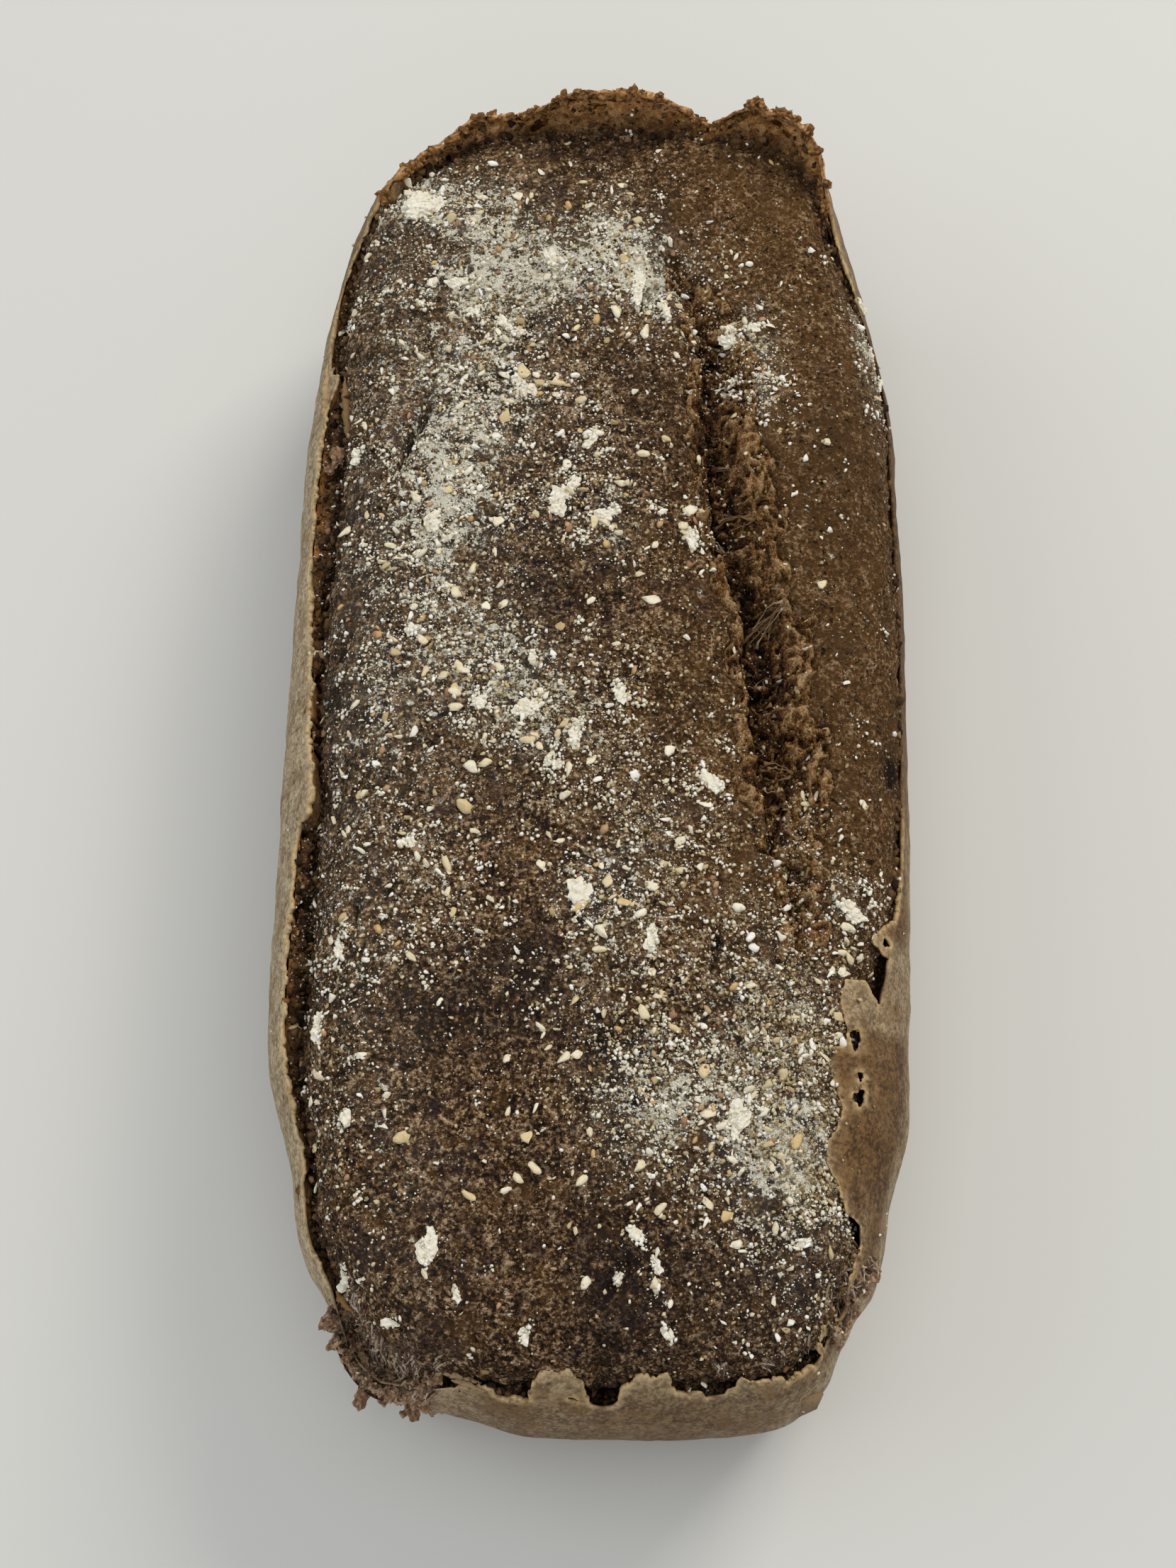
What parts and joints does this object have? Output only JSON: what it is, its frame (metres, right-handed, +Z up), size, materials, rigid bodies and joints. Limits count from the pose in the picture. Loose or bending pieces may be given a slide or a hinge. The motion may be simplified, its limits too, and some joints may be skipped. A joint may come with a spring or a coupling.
{
  "type": "fig bread loaf",
  "caption": "Dark tin loaf of gluten-free fig bread with a torn skin rim, a burst along its top and grits baked onto it.",
  "frame": {"origin": "on the resting face, under the middle of the loaf", "axes": "+Y along the loaf towards its far end, +X to its right side seen from the front end, +Z up"},
  "size_m": [0.112, 0.242, 0.0656],
  "materials": {
    "bread": "dark brown, rough, dusted with pale grits"
  },
  "bodies": {
    "root": {"loaf": "bread"}
  },
  "joints": []
}
